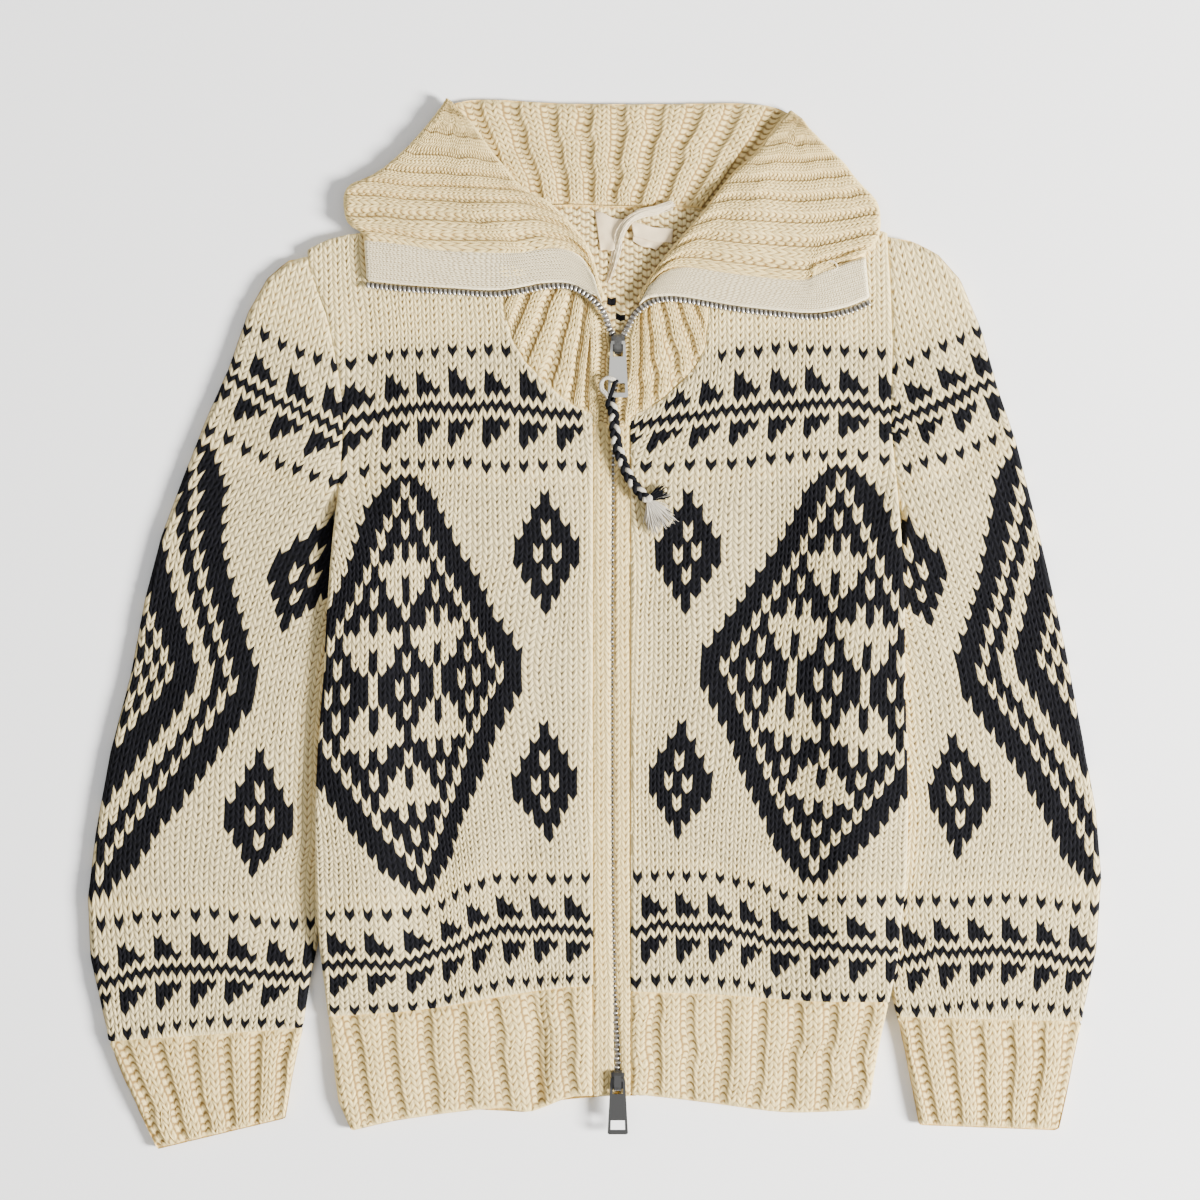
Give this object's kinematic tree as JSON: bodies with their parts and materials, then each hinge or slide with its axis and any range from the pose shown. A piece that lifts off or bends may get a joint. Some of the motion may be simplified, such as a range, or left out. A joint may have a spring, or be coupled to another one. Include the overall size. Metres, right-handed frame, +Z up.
{
  "type": "nordic sweater",
  "caption": "Chunky knitted zip cardigan laid flat, with patterned yoke bands, large diamonds, ribbed hem and cuffs, and a wide ribbed collar folded open.",
  "frame": {"origin": "on the table under the closed zip, about halfway down the body", "axes": "+Z up from the table, +Y towards the collar, +X to the right of a viewer who looks down on the front"},
  "size_m": [0.76, 0.788, 0.0219],
  "materials": {
    "knit": "cream wool with blue-black pattern",
    "rib": "ribbed cream wool",
    "facing": "fine knit tape",
    "teeth": "gunmetal",
    "dark_metal": "polished gunmetal",
    "silver_metal": "satin silver",
    "cord": "braided black and cream wool",
    "tuft": "loose wool",
    "satin": "crumpled satin"
  },
  "bodies": {
    "garment": {"back": "knit", "front_left": "knit", "front_right": "knit", "sleeve_left": "knit", "sleeve_right": "knit", "cuff_left": "rib", "cuff_right": "rib", "hem_back": "rib", "hem_left": "rib", "hem_right": "rib", "collar_back": "rib", "lapel_left": "rib", "lapel_right": "rib", "inset_left": "rib", "inset_right": "rib", "band_left": "rib", "band_right": "rib", "facing_left": "facing", "facing_right": "facing", "zip_closed": "teeth", "zip_open_left": "teeth", "zip_open_right": "teeth", "slider_top": "dark_metal", "slider_bottom": "dark_metal", "label": "satin"},
    "top_pull": {"pull_top": "silver_metal", "braid": "cord", "tassel": "tuft"},
    "bottom_pull": {"pull_bottom": "dark_metal"}
  },
  "joints": [
    {"name": "top_pull_hinge", "type": "hinge", "parent": "garment", "child": "top_pull", "pos_m": [0.0045, 0.2115, 0.0122], "axis": [-1, 0, 0], "range_deg": [0, 150]},
    {"name": "bottom_pull_hinge", "type": "hinge", "parent": "garment", "child": "bottom_pull", "pos_m": [0.0043, -0.3405, 0.0122], "axis": [-1, 0, 0], "range_deg": [0, 170]}
  ]
}
